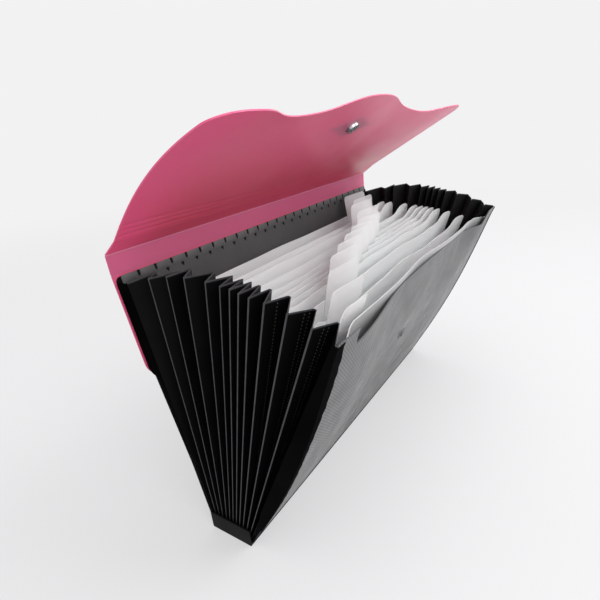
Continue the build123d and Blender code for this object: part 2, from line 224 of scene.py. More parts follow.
class Paint:
    """A material under construction."""

    def __init__(self, name, **sockets):
        self.material = bpy.data.materials.new(name)
        self.material.use_nodes = True
        self.tree = self.material.node_tree
        self.shader = self.tree.nodes["Principled BSDF"]
        for socket, value in sockets.items():
            self.shader.inputs[socket.replace("_", " ")].default_value = value

    def node(self, kind, **settings):
        made = self.tree.nodes.new(kind)
        for setting, value in settings.items():
            setattr(made, setting, value)
        return made

    def link(self, start, end):
        self.tree.links.new(start, end)

    def place(self, kind="Object"):
        return self.node("ShaderNodeTexCoord").outputs[kind]

    def map_axis(self, axis):
        split = self.node("ShaderNodeSeparateXYZ")
        self.link(self.place("UV"), split.inputs[0])
        return split.outputs[axis]

    def noise(self, scale, detail=3.0, roughness=0.5, stretch=(1, 1, 1)):
        mapping = self.node("ShaderNodeMapping")
        mapping.inputs["Scale"].default_value = stretch
        self.link(self.place(), mapping.inputs["Vector"])
        texture = self.node("ShaderNodeTexNoise")
        texture.inputs["Scale"].default_value = scale
        texture.inputs["Detail"].default_value = detail
        texture.inputs["Roughness"].default_value = roughness
        self.link(mapping.outputs[0], texture.inputs["Vector"])
        return texture.outputs["Fac"]

    def math(self, operation, first, second=0.0, third=0.0):
        made = self.node("ShaderNodeMath", operation=operation)
        for number, value in enumerate((first, second, third)):
            if isinstance(value, (int, float)):
                made.inputs[number].default_value = value
            else:
                self.link(value, made.inputs[number])
        return made.outputs[0]

    def spread(self, value, from_low, from_high, to_low, to_high, ease=False):
        made = self.node("ShaderNodeMapRange")
        made.interpolation_type = "SMOOTHSTEP" if ease else "LINEAR"
        for number, limit in enumerate((from_low, from_high, to_low, to_high)):
            made.inputs[number + 1].default_value = limit
        self.link(value, made.inputs[0])
        return made.outputs[0]

    def mix(self, share, first, second):
        made = self.node("ShaderNodeMix", data_type="RGBA")
        for socket, value in ((made.inputs[0], share), (made.inputs[6], first), (made.inputs[7], second)):
            if isinstance(value, (int, float, tuple)):
                socket.default_value = value
            else:
                self.link(value, socket)
        return made.outputs[2]

    def value_of(self, name):
        return self.node("ShaderNodeAttribute", attribute_name=name).outputs["Fac"]

    def colour(self, socket):
        self.link(socket, self.shader.inputs["Base Color"])

    def rough(self, socket):
        self.link(socket, self.shader.inputs["Roughness"])

    def bump(self, height, strength, distance):
        made = self.node("ShaderNodeBump")
        made.inputs["Strength"].default_value = strength
        made.inputs["Distance"].default_value = distance
        self.link(height, made.inputs["Height"])
        self.link(made.outputs[0], self.shader.inputs["Normal"])


def plastic(name, dark, light, rough_low, rough_high, grain=1400.0, grain_depth=0.00004, **sockets):
    """Moulded sheet plastic: cloudy colour, uneven gloss and a fine grain."""
    paint = Paint(name, **sockets)
    cloud = paint.noise(14.0, 4.0, 0.55)
    paint.colour(paint.mix(paint.spread(cloud, 0.35, 0.65, 0.0, 1.0), dark, light))
    paint.rough(paint.spread(paint.noise(45.0, 3.0), 0.3, 0.7, rough_low, rough_high))
    paint.bump(paint.noise(grain, 2.0), 0.35, grain_depth)
    return paint


# Dots and plate in millimetres, the dots' half width in shares of their pitch, and the ribs in metres
DOT_PITCH = 2.3
DOT_HALF = 0.2
RIB_PITCH = 0.0018
RIB_ALONG = 0.72
RIB_UP = 0.75
PLATE_HALF = 35.0
PLATE_RISE = 11.5


def pleat_paint():
    """Black pleats: a painted highlight on the ridges, a paler top rim, a painted inner sheen, and lines of
    pressed dots on some panels.
    """
    paint = plastic("pleat_black", tone(5, 5, 6), tone(9, 9, 10), 0.45, 0.6, Specular_IOR_Level=0.06)
    base = paint.shader.inputs["Base Color"].links[0].from_socket
    # Painted highlight along the flattened ridges, blotched by noise; the top rim is painted pale by the same
    # value.
    highlight_share = paint.spread(paint.noise(160.0), 0.2, 0.6, 0.7, 1.0)
    highlight_share = paint.math("MULTIPLY", paint.value_of("ridge_highlight_and_pale_rim"), highlight_share)
    painted_sheen_colour = paint.mix(highlight_share, base, tone(76, 76, 78))
    # Painted sheen: the inner side of the pleats is painted a little paler, for the light glancing off it.
    painted_sheen_colour = paint.mix(paint.math("MULTIPLY", paint.value_of("painted_inner_sheen"), 0.2), painted_sheen_colour, tone(72, 72, 74))
    row = paint.math("FRACT", paint.math("MULTIPLY", paint.map_axis(1), 1 / DOT_PITCH))
    dot = paint.math("LESS_THAN", paint.math("ABSOLUTE", paint.math("SUBTRACT", row, 0.5)), DOT_HALF)
    dots = paint.math("MULTIPLY", dot, paint.spread(paint.value_of("dot_line"), 0.3, 0.6, 0.0, 1.0))
    paint.colour(paint.mix(paint.math("MULTIPLY", dots, 0.85), painted_sheen_colour, tone(82, 82, 84)))
    paint.bump(dots, 0.5, 0.0002)
    return paint.material


def cover_paint():
    """Grey cover with fine slanting ribs pressed into it, and painted shade darker towards the foot."""
    paint = Paint("cover_grey", Specular_IOR_Level=0.22)
    place = paint.node("ShaderNodeSeparateXYZ")
    paint.link(paint.place(), place.inputs[0])
    slant = paint.math("MULTIPLY", place.outputs[0], RIB_ALONG)
    slant = paint.math("MULTIPLY_ADD", place.outputs[2], RIB_UP, slant)
    rib = paint.math("SINE", paint.math("MULTIPLY", slant, 2 * math.pi / RIB_PITCH))
    rib = paint.spread(rib, -1.0, 1.0, 0.0, 1.0)
    cloud = paint.spread(paint.noise(9.0, 4.0), 0.35, 0.65, 0.0, 1.0)
    plain = paint.mix(cloud, tone(95, 95, 96), tone(105, 105, 106))
    # Painted shade: the cover is darker towards the foot, for the shadowed floor it reflects there.
    foot = paint.spread(paint.map_axis(1), 5.0, 150.0, 0.9, 0.0, True)
    plain = paint.mix(foot, plain, tone(44, 44, 46))
    paint.colour(paint.mix(paint.math("MULTIPLY", rib, 0.75), plain, tone(50, 50, 52)))
    paint.rough(paint.spread(paint.noise(60.0), 0.3, 0.7, 0.26, 0.36))
    paint.bump(rib, 0.4, 0.0001)
    return paint.material


def pink_paint(name, dark, light, low, high):
    """Translucent pink sheet."""
    paint = Paint(
        name, Specular_IOR_Level=0.45, Subsurface_Weight=0.25, Subsurface_Radius=(0.004, 0.001, 0.002),
        Subsurface_Scale=1.0,
    )
    cloud = paint.spread(paint.noise(8.0, 4.0, 0.55, (0.5, 1, 1)), 0.3, 0.7, 0.0, 1.0)
    paint.colour(paint.mix(cloud, dark, light))
    paint.rough(paint.spread(paint.noise(50.0), 0.3, 0.7, low, high))
    paint.bump(paint.noise(260.0, 2.0), 0.08, 0.00003)
    return paint


def flap_paint():
    """The flap: painted shade darker red near the creases, brighter at its near end, and painted shade of the
    plate behind it.
    """
    paint = pink_paint("flap_pink", tone(216, 96, 130), tone(224, 106, 140), 0.31, 0.37)
    base = paint.shader.inputs["Base Color"].links[0].from_socket
    reach = paint.map_axis(1)
    # Painted shade: darker red near the crease, where the sheet faces down and reflects the dark inside of the
    # folder.
    painted_shade = paint.spread(reach, 10.0, 100.0, 0.6, 0.0, True)
    shaded_pink = paint.mix(painted_shade, base, tone(204, 72, 88))
    near_end = paint.spread(paint.map_axis(0), -172.0, -120.0, 0.55, 0.0, True)
    shaded_pink = paint.mix(near_end, shaded_pink, tone(222, 84, 134))
    # Painted shade: the plate behind the sheet shows through as a darker, greyer patch.
    along = paint.math("DIVIDE", paint.math("ABSOLUTE", paint.map_axis(0)), PLATE_HALF)
    up = paint.math("ABSOLUTE", paint.math("SUBTRACT", reach, SNAP_REACH))
    up = paint.math("DIVIDE", up, PLATE_RISE)
    plate = paint.spread(paint.math("ADD", along, up), 0.55, 1.2, 0.52, 0.0, True)
    paint.colour(paint.mix(plate, shaded_pink, tone(158, 96, 116)))
    return paint.material


def frosted_paint(name, dark, light, low, high, **sockets):
    """Frosted clear sheet with soft streaks."""
    paint = Paint(name, Specular_IOR_Level=0.5, **sockets)
    streak = paint.spread(paint.noise(10.0, 5.0, 0.6, (0.25, 1, 1)), 0.3, 0.7, 0.0, 1.0)
    paint.colour(paint.mix(streak, dark, light))
    paint.rough(paint.spread(paint.noise(30.0), 0.3, 0.7, low, high))
    paint.bump(paint.noise(220.0, 3.0), 0.12, 0.0002)
    return paint.material


def lining_paint():
    """The lining on the front cover: painted shade low down, in the narrow gap behind the cover's edge, and a
    painted highlight on its top edge.
    """
    paint = Paint("lining_frosted", Specular_IOR_Level=0.4)
    streak = paint.spread(paint.noise(10.0, 5.0, 0.6, (0.25, 1, 1)), 0.3, 0.7, 0.0, 1.0)
    plain = paint.mix(streak, tone(166, 166, 167), tone(178, 178, 179))
    height = paint.map_axis(1)
    # Painted shade: darker low down, where the lining lies in the narrow gap behind the cover's edge.
    gap_shade_share = paint.spread(height, 148.0, 178.0, 1.0, 0.0, True)
    painted_shade = paint.mix(gap_shade_share, plain, tone(72, 72, 74))
    # Painted highlight along the top edge.
    edge_highlight = paint.spread(height, LINING_HEIGHT - 0.5, LINING_HEIGHT - 0.1, 0.0, 0.2, True)
    paint.colour(paint.mix(edge_highlight, painted_shade, tone(228, 228, 229)))
    paint.rough(paint.spread(paint.noise(30.0), 0.3, 0.7, 0.42, 0.55))
    paint.bump(paint.noise(220.0, 3.0), 0.12, 0.0002)
    return paint.material


def metal_paint(name, dark, light, low, high):
    """Pressed metal with a fine turned grain."""
    paint = Paint(name, Metallic=1.0)
    paint.colour(paint.mix(paint.noise(300.0), dark, light))
    paint.rough(paint.spread(paint.noise(900.0, 2.0), 0.3, 0.7, low, high))
    paint.bump(paint.noise(700.0, 2.0), 0.2, 0.00003)
    return paint.material


edging_black = plastic(
    "edging_black", tone(5, 5, 6), tone(9, 9, 10), 0.85, 0.95, Specular_IOR_Level=0.02
).material
black_trim = plastic(
    "trim_black", tone(8, 8, 9), tone(14, 14, 15), 0.5, 0.62, Specular_IOR_Level=0.08
).material
black_pleats = pleat_paint()
grey_liner = plastic("liner_grey", tone(60, 60, 61), tone(70, 70, 71), 0.42, 0.55).material
liner_mark = plastic("liner_mark", tone(74, 74, 75), tone(86, 86, 87), 0.4, 0.52).material
liner_dark = plastic(
    "liner_dark", tone(8, 8, 9), tone(14, 14, 15), 0.5, 0.62, Specular_IOR_Level=0.1
).material
grey_cover = cover_paint()
pink_sheet = pink_paint("pink_sheet", tone(200, 82, 118), tone(208, 92, 128), 0.34, 0.44).material
# Painted shade: the strip is a darker, bluer copy of the pink sheet, for the way it faces the light.
shaded_pink_strip = pink_paint("shaded_pink_strip", tone(188, 86, 124), tone(198, 96, 134), 0.4, 0.5).material
# Painted highlight: the upper crease bead is a paler pink, for the light it catches.
pink_crease_highlight = plastic("pink_crease_highlight", tone(222, 138, 168), tone(230, 152, 180), 0.3, 0.42).material
pink_flap = flap_paint()
SHEET_GLOW = {"Subsurface_Weight": 0.3, "Subsurface_Radius": (0.01, 0.01, 0.01), "Subsurface_Scale": 1.0}
# Painted light: the dividers are tinted faintly cyan to cancel the pink light the flap bounces onto them.
frosted = frosted_paint(
    "divider_frosted", tone(243, 248, 248), tone(249, 252, 252), 0.45, 0.6, Alpha=0.85, **SHEET_GLOW
)
lining = lining_paint()
clear = frosted_paint("tab_clear", tone(244, 244, 245), tone(251, 251, 251), 0.28, 0.4, Alpha=0.45)
plate_paint = plastic("plate_dark", tone(108, 48, 70), tone(120, 56, 80), 0.4, 0.5).material
bright_metal = metal_paint("snap_bright", tone(176, 176, 178), tone(206, 206, 208), 0.18, 0.32)
snap_grey = plastic(
    "snap_grey", tone(118, 118, 120), tone(130, 130, 132), 0.6, 0.7, Specular_IOR_Level=0.2
).material

for slot_paint, names in (
    (black_trim, ("base_spine", "back_cover")),
    (grey_liner, ("back_liner",)),
    (pink_sheet, ("flap_back_panel",)),
    (shaded_pink_strip, ("flap_strip",)),
    (plate_paint, ("snap_plate",)),
    (bright_metal, ("snap_cap", "snap_socket")),
    (snap_grey, ("snap_stud", "snap_post")),
):
    for name in names:
        nodes[name].data.materials.clear()
        nodes[name].data.materials.append(slot_paint)


# Gussets: pleats with a flattened line along each ridge, painted paler as a highlight

fold_leans = [BACK_LEAN]
fold_hinges = [POCKET_BACK - (CLEARANCE + GUSSET_SHEET) / math.cos(math.radians(BACK_LEAN))]
fold_turns = [ratios["back_hinge"]]
for number in range(COUNT):
    turn = ratios[f"divider_hinge_{number + 1:02d}"]
    if number:
        fold_leans.append((DIVIDER_LEANS[number - 1] + DIVIDER_LEANS[number]) / 2)
        fold_hinges.append((DIVIDER_HINGES[number - 1] + DIVIDER_HINGES[number]) / 2)
        fold_turns.append((ratios[f"divider_hinge_{number:02d}"] + turn) / 2)
    fold_leans.append(DIVIDER_LEANS[number])
    fold_hinges.append(DIVIDER_HINGES[number])
    fold_turns.append(turn)
fold_leans.append(FRONT_LEAN)
fold_hinges.append(POCKET_FRONT + (CLEARANCE + GUSSET_SHEET) / math.cos(math.radians(FRONT_LEAN)))
fold_turns.append(1.0)
fold_count = len(fold_leans)

# Levels are shares of the height, and places along the pleats count in folds from the back.
# The rest is in millimetres.
GUSSET_ROWS = 40
MAIN_LEVEL = 0.985
RIM_LEVELS = (0.994, 0.997, 1.0)
RIM_RUN = 0.004
RIM_PALE = 0.9
FOOT_LIFT = 0.1
FOOT_BEND = 25.0
LEAST_FOOT_BEND = 0.06
TIP_ROUND = 2.2
BLUNT_FROM = 12
BLUNT_RUN = 5
RIDGE_HALF = 0.14
RIDGE_GROWTH = 0.34
RIDGE_GROWTH_FROM = 8
RIDGE_GROWTH_RUN = 12
RIDGE_FOOT = 0.35
PALE_FROM = 14
PALE_RUN = 4
SAG = 0.45
SAG_ALONG = 0.4
SAG_ACROSS = 0.6
VALLEY_SHARES = (-0.25, -0.14, -0.08, -0.03, 0.03, 0.08, 0.14, 0.25, 0.5)
RIDGE_SHARES = (-0.25, -0.03, 0.03, 0.25, 0.5)
END_SHARES = (-0.25, 0.0, 0.25, 0.5)
DOT_SHARES = (-0.03, 0.0, 0.03)
FAR_TIP_DROP = 1.3
RIDGE_RISES = (-6.5, -2.5, 0.5, 2.4, 3.4, 3.4, 3.4, 2.6, 2.0, 2.4, 2.0, 0.5, 0)
VALLEY_RISES = (-4.0, -1.5, 1.5, 3.0, 3.6, 3.4, 3.2, 3.2, 3.2, 3.4, 2.6, 1.5)
DOT_LINES = (18.5, 20.6, 20.78, 22.45, 22.64)
fold_rises = []
for fold in range(fold_count):
    rises = VALLEY_RISES if fold % 2 else RIDGE_RISES
    fold_rises.append(rises[fold // 2])


def gusset_columns(first, last):
    """The columns of a stretch of pleats: place in folds, side of a ridge's flat line, and share of painted
    highlight.
    """
    columns = [(first, 0.0, 0.0), (last, 0.0, 0.0)]
    for fold in range(math.ceil(first), math.floor(last) + 1):
        if fold % 2:
            columns.append((fold, 0.0, 0.0))
            columns += [(fold + share, 0.0, 0.0) for share in VALLEY_SHARES]
        elif 0 < fold < fold_count - 1:
            columns += [(fold, -1.0, 1.0), (fold, 1.0, 1.0)]
            columns += [(fold + share, 0.0, 0.0) for share in RIDGE_SHARES]
        else:
            columns += [(fold + share, 0.0, 0.0) for share in END_SHARES]
    for line in DOT_LINES:
        columns += [(line + share, 0.0, 0.0) for share in DOT_SHARES]
    return sorted({column for column in columns if first <= column[0] <= last})


def gusset_part(name, side, first, last, body):
    """One stretch of pleats at an end of the folder. side is -1 for the left end."""
    columns = gusset_columns(first, last)
    place = np.array([column[0] for column in columns], float)
    pale = np.array([column[2] for column in columns], float)
    level = np.append(np.linspace(0, MAIN_LEVEL, GUSSET_ROWS), RIM_LEVELS)
    known = np.arange(fold_count)
    lean = np.radians(np.interp(place, known, fold_leans))
    hinge = np.interp(place, known, fold_hinges)
    depth = np.interp(place, known, [PLEAT_DEPTH * (fold % 2) for fold in known])
    foot_z = BASE_FLOOR + FOOT_LIFT
    low = np.array([hinge + (foot_z - HINGE_Z) * np.tan(lean), np.full(len(place), foot_z)])
    tip_rises = np.array(fold_rises) + FOLD_LENGTH - (FAR_TIP_DROP if side > 0 else 0.0)
    tip_leans = np.radians(fold_leans)
    tips = [fold_hinges + tip_rises * np.sin(tip_leans), HINGE_Z + tip_rises * np.cos(tip_leans)]
    high = np.array([np.interp(place, known, heights) for heights in tips])
    from_valley = np.clip(PLEAT_DEPTH - depth, 0, None)
    blunt = smooth((place - BLUNT_FROM) / BLUNT_RUN)
    inside = np.clip(TIP_ROUND - from_valley, 0, TIP_ROUND)
    drop = blunt * (TIP_ROUND - np.sqrt(TIP_ROUND ** 2 - inside ** 2))
    high = high - drop * np.array([np.sin(lean), np.cos(lean)])
    ridge_half = RIDGE_HALF + RIDGE_GROWTH * smooth((place - RIDGE_GROWTH_FROM) / RIDGE_GROWTH_RUN)
    band = np.array([column[1] for column in columns]) * ridge_half
    widening = (RIDGE_FOOT + (1 - RIDGE_FOOT) * level)[:, None]
    y = low[0] + np.outer(level, high[0] - low[0]) - band * widening
    z = low[1] + np.outer(level, high[1] - low[1])
    sag = SAG * np.sin(np.pi * (place % 1)) * (np.sin(np.pi * level) ** 0.7)[:, None]
    x = side * (LENGTH / 2 - GUSSET_SHEET / 2 - depth[None, :] - SAG_ALONG * sag)
    grid = np.stack([x, y + sag * SAG_ACROSS, z], axis=-1)
    if side > 0:
        grid = grid[:, ::-1]
    order = slice(None, None, -1) if side > 0 else slice(None)
    rise = np.outer(level, np.full(len(place), FOLD_LENGTH))
    piece = thick_sheet(
        name, grid, GUSSET_SHEET, black_pleats, np.broadcast_to(place[order], rise.shape), rise, 30.0
    )
    turn = np.interp(place, known, fold_turns)
    whole = ratios["back_hinge"] if body == "back_cover" else 1.0
    hinge_at = BACK_HINGE if body == "back_cover" else FRONT_HINGE
    from_cover = np.clip(np.abs(hinge - hinge_at[0]) / POCKET_BACK, 0, 1)
    foot_bend = FOOT_BEND * (LEAST_FOOT_BEND + (1 - LEAST_FOOT_BEND) * from_cover)
    weight = np.clip(turn / whole, 0, 1)[order] * smooth(rise / foot_bend[order])
    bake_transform(piece, "base", body, start=metres(hinge_at), end=metres((hinge_at[0], HINGE_Z + FOLD_LENGTH)))
    set_values(piece, "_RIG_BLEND", twice(weight))
    rim = smooth((level - RIM_LEVELS[0]) / RIM_RUN)
    # Painted highlight along the ridges above the foot, and the top rim painted pale.
    ridge_highlight_and_pale_rim = np.broadcast_to(pale[order], rise.shape) * smooth((rise - PALE_FROM) / PALE_RUN)
    ridge_highlight_and_pale_rim = np.maximum(ridge_highlight_and_pale_rim, rim[:, None] * RIM_PALE)
    set_values(piece, "ridge_highlight_and_pale_rim", twice(ridge_highlight_and_pale_rim))
    # Painted sheen on the inner faces of the pleats.
    inner = np.zeros((2, *rise.shape))
    inner[1] = 1.0
    set_values(piece, "painted_inner_sheen", inner)
    dotted = np.isin(place, DOT_LINES).astype(float)
    set_values(piece, "dot_line", twice(np.broadcast_to(dotted[order], rise.shape)))
    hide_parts("left_gusset" if side < 0 else "right_gusset")


# The place between two folds that stands still as the folder shuts
before = max(fold for fold in range(fold_count) if fold_turns[fold] < 0)
still_fold = before + fold_turns[before] / (fold_turns[before] - fold_turns[before + 1])
for side, end in ((-1, "left"), (1, "right")):
    gusset_part(f"gusset_{end}_back", side, 0, still_fold, "back_cover")
    gusset_part(f"gusset_{end}_front", side, still_fold, fold_count - 1, "front_cover")


# Front cover and lining: bowed inwards in the middle of the top edge, the cover bulged at its ends

COVER_BOW = 8.0
NEAR_BOW_END = 142
NEAR_BOW_RUN = 95
FAR_BOW_END = 150
FAR_BOW_RUN = 60
LINING_BOW = 7.0
LINING_BOW_END = 160
LINING_BOW_RUN = 30
LINING_MIDDLE = 3.0
LINING_MIDDLE_AT = -10
LINING_MIDDLE_WIDTH = 40
BOW_START = 132.0
BOW_SHARE = 0.62
NEAR_BULGE = 7.0
FAR_BULGE = 5.3
BULGE_HEIGHT = 200
BULGE_RUN = 85
FLAT_HALF = 35.0
COVER_CORNER = 3.0
EAR_START = 141
EAR_END = 147
EAR_LOW_PULL = 144.5
EAR_HIGH_PULL = 143.5
LINING_FOOT = 8.0
FRONT_ROWS = 44


def bow_up(rise):
    """The share of a bow that a height on a front sheet has."""
    return smooth((rise - BOW_START) / (MIDDLE_HEIGHT - BOW_START) * BOW_SHARE) / smooth(BOW_SHARE)


def cover_depth(x, rise):
    """How far the cover stands off its plane: bowed inwards in the middle of its top, bulged at its ends."""
    run = np.where(x < 0, (NEAR_BOW_END + x) / NEAR_BOW_RUN, (FAR_BOW_END - x) / FAR_BOW_RUN)
    most = np.where(x < 0, NEAR_BULGE, FAR_BULGE)
    bulge = most * np.sin(np.pi * np.clip(rise / BULGE_HEIGHT, 0, 1))
    bulge = bulge * smooth((np.abs(x) - FLAT_HALF) / BULGE_RUN)
    return bulge - COVER_BOW * smooth(run) * bow_up(rise)


def lining_depth(x, rise):
    """How far the lining stands off its plane, towards the back."""
    along = LINING_BOW * smooth((LINING_BOW_END - np.abs(x)) / LINING_BOW_RUN)
    along = along + LINING_MIDDLE * hump(x, LINING_MIDDLE_AT, LINING_MIDDLE_WIDTH)
    return -along * bow_up(rise)


def front_piece(name, x, rise, offset, depth, thickness, material):
    """A sheet on the front cover, hung on the front cover's body."""
    x = np.broadcast_to(x, rise.shape)
    grid = on_sheet(FRONT_HINGE, FRONT_LEAN, x, rise, offset + depth)
    piece = thick_sheet(name, grid, thickness, material, x, rise)
    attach(piece, "front_cover")
    anchor = on_sheet(FRONT_HINGE, FRONT_LEAN, 0.0, 0.0, offset)
    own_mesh(piece)
    return piece


ear = bezier(
    (EAR_START, MIDDLE_HEIGHT), (EAR_LOW_PULL, MIDDLE_HEIGHT),
    (EAR_HIGH_PULL, COVER_HEIGHT), (EAR_END, COVER_HEIGHT),
)
rounding = COVER_CORNER * (1 - np.sin(np.linspace(0.1, 1, 6) * np.pi / 2))
front_x = np.concatenate([
    np.linspace(0, EAR_START - 2, 35), np.linspace(EAR_START, EAR_END, 15),
    np.linspace(EAR_END + 2, LENGTH / 2 - COVER_CORNER, 7), LENGTH / 2 - rounding,
])
front_x = np.concatenate([-front_x[:0:-1], front_x])
top = np.interp(np.abs(front_x), ear[:, 0], ear[:, 1])
ear_top = rounded_top(front_x, -LENGTH / 2, LENGTH / 2, COVER_HEIGHT, COVER_CORNER)
top = np.where(np.abs(front_x) > EAR_END + 1, ear_top, top)
rise = np.linspace(0, 1, FRONT_ROWS)[:, None] * top[None, :]
depth = cover_depth(front_x[None, :], rise)
cover = front_piece("front_sheet", front_x, rise, 0.0, depth, COVER_SHEET, grey_cover)
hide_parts("front_cover")
lining_half = LENGTH / 2 - LINER_MARGIN
lining_x = np.concatenate([np.linspace(0, lining_half - COVER_CORNER - 1, 42), lining_half - rounding])
lining_x = np.concatenate([-lining_x[:0:-1], lining_x])
top = rounded_top(lining_x, -lining_half, lining_half, LINING_HEIGHT, COVER_CORNER)
rise = LINING_FOOT + np.linspace(0, 1, FRONT_ROWS)[:, None] * (top - LINING_FOOT)[None, :]
lining_piece = front_piece(
    "front_lining", lining_x, rise, -(COVER_SHEET + LINER_SHEET) / 2, lining_depth(lining_x[None, :], rise),
    LINER_SHEET, lining,
)
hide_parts("front_liner")

# Edging: the gusset's sheet runs on round each end of the front cover, with a wavy welded lip
NEAR_LIP = 5.0
FAR_LIP = 1.6
LIP_FOOT = 0.35
LIP_RUN = 70
LIP_SWELL_FROM = 110
LIP_TAPER = 0.5
LIP_TAPER_FROM = 192
LIP_TAPER_RUN = 14
LIP_WAVE = 0.7
EDGING_FOOT = 2
EDGING_TOP = COVER_HEIGHT - 0.6
EDGING_PROUD = 0.03
EDGING_WRAP = 0.22
WRAP_FROM = 20
WRAP_RUN = 8
TUCK_FOOT = 0.4
TUCK_MORE = 2.6
TUCK_FROM = 24
TUCK_RUN = 20

rise = np.linspace(EDGING_FOOT, EDGING_TOP, 90)[:, None]
for side, end, width in ((-1, "left", NEAR_LIP), (1, "right", FAR_LIP)):
    out = cover_depth(np.array(side * LENGTH / 2), rise)
    swell = LIP_FOOT + (1 - LIP_FOOT) * smooth(rise / LIP_RUN) + smooth((rise - LIP_SWELL_FROM) / LIP_RUN)
    lip = width * (swell - LIP_TAPER * smooth((rise - LIP_TAPER_FROM) / LIP_TAPER_RUN))
    lip = lip + LIP_WAVE * np.sin(rise / 1.6) * np.sin(rise / 9)
    inset = np.concatenate([0 * rise, 0 * rise, 0.3 + 0 * rise, 0.6 * lip, lip], axis=1)
    tuck = -TUCK_FOOT - TUCK_MORE * smooth((rise - TUCK_FROM) / TUCK_RUN)
    depth = np.concatenate([tuck, out * 0.4, out + 0.55, out + 0.75, out + 0.7], axis=1)
    wide = np.broadcast_to(rise, inset.shape)
    wrap = EDGING_WRAP * smooth((rise - WRAP_FROM) / WRAP_RUN)
    at = side * (LENGTH / 2 + EDGING_PROUD + wrap - inset)
    if side > 0:
        at, depth = at[:, ::-1], depth[:, ::-1]
    front_piece(f"cover_edging_{end}", at, wide, 0.0, depth, GUSSET_SHEET, edging_black)


# The same sheet runs on round each end of the back cover, where it widens
BACK_WIDENING = 5.7
BACK_LAP = 1.6
BACK_EDGING_FOOT = 122
BACK_EDGING_TOP = 203
WIDENING_FROM = 128
WIDENING_RUN = 16

rise = np.linspace(BACK_EDGING_FOOT, BACK_EDGING_TOP, 50)[:, None]
for side, end in ((-1, "left"), (1, "right")):
    reach = LENGTH / 2 + BACK_WIDENING * smooth((rise - WIDENING_FROM) / WIDENING_RUN)
    inset = np.concatenate([reach - LENGTH / 2 + BACK_LAP, 0.5 * (reach - LENGTH / 2), 0 * rise], axis=1)
    at = side * (reach - inset)
    if side < 0:
        at = at[:, ::-1]
    wide = np.broadcast_to(rise, at.shape)
    grid = on_sheet(BACK_HINGE, BACK_LEAN, at, wide, (COVER_SHEET + GUSSET_SHEET) / 2 + EDGING_PROUD)
    strip = thick_sheet(f"back_edging_{end}", grid, GUSSET_SHEET, edging_black, at, wide)
    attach(strip, "back_cover")


# Dividers and their tabs: slack frosted sheets

RIPPLE_RUN = 45
RIPPLE_RISE = 190.0
LONG_RIPPLE = 0.7
LONG_WAVE = 23.0
SHORT_RIPPLE = 0.4
SHORT_WAVE = 11.0
FIRST_BOW = 0.45
BOW_GROWTH = 0.3
DIVIDER_FLAT = 145
TAB_FLAT = 15.5


def slack(number, x, rise):
    """How far a divider bulges square to itself, positive towards the front."""
    share = (number + 1) / COUNT
    ends = smooth((DIVIDER_HALF - np.abs(x)) / RIPPLE_RUN)
    ripple = LONG_RIPPLE * np.sin(x / LONG_WAVE + number * 1.1)
    ripple = ripple + SHORT_RIPPLE * np.sin(x / SHORT_WAVE + number * 2.3)
    bow = (FIRST_BOW + BOW_GROWTH * share ** 2) * lining_depth(x, rise)
    return ends * smooth(rise / RIPPLE_RISE) * ripple + bow


ear_curve = bezier(
    (DIVIDER_HALF - DIVIDER_EAR - DIVIDER_SLOPE, 0.0), (DIVIDER_HALF - DIVIDER_EAR - DIVIDER_SLOPE / 2, 0.0),
    (DIVIDER_HALF - DIVIDER_EAR - DIVIDER_SLOPE / 2, DIVIDER_DIP), (DIVIDER_HALF - DIVIDER_EAR, DIVIDER_DIP),
)
tab_step = -2 * FIRST_TAB / (COUNT - 1)
for number in range(COUNT):
    hinge = (DIVIDER_HINGES[number], HINGE_Z)
    lean = DIVIDER_LEANS[number]
    tag = f"{number + 1:02d}"
    corner = DIVIDER_HALF - DIVIDER_CORNER * (1 - np.sin(np.linspace(0, 1, 7) * np.pi / 2))
    x = np.concatenate([-corner[::-1], np.linspace(-DIVIDER_FLAT, DIVIDER_FLAT, 75), corner])
    level = np.linspace(0, 1, 22)[:, None]
    top = rounded_top(x, -DIVIDER_HALF, DIVIDER_HALF, DIVIDER_HEIGHT, DIVIDER_CORNER)
    rise = level * (top + np.interp(np.abs(x), ear_curve[:, 0], ear_curve[:, 1]))[None, :]
    grid = on_sheet(hinge, lean, x[None, :], rise, slack(number, x[None, :], rise))
    across = np.broadcast_to(x, rise.shape)
    sheet = thick_sheet(f"divider_sheet_{tag}", grid, DIVIDER_SHEET, frosted, across, rise)
    centre = FIRST_TAB + number * tab_step
    curve = TAB_WIDTH / 2 - TAB_CORNER * (1 - np.sin(np.linspace(0, 1, 6) * np.pi / 2))
    x = centre + np.concatenate([-curve[::-1], np.linspace(-TAB_FLAT, TAB_FLAT, 18), curve])
    top = rounded_top(x, centre - TAB_WIDTH / 2, centre + TAB_WIDTH / 2, TAB_LAP + TAB_RISE, TAB_CORNER)
    rise = DIVIDER_HEIGHT - TAB_LAP + np.linspace(0, 1, 14)[:, None] * top[None, :]
    over = slack(number, x[None, :], rise) + (DIVIDER_SHEET + TAB_SHEET) / 2
    grid = on_sheet(hinge, lean, x[None, :], rise, over)
    tab = thick_sheet(f"tab_sheet_{tag}", grid, TAB_SHEET, clear)
    for piece, node, slot in ((sheet, f"divider_{tag}", "frosted_sheet"), (tab, f"tab_{tag}", "clear_tab")):
        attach(piece, f"divider_{tag}")
        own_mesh(piece)
        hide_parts(node)


# Flap: slack at both ends, with pressed score lines near the crease

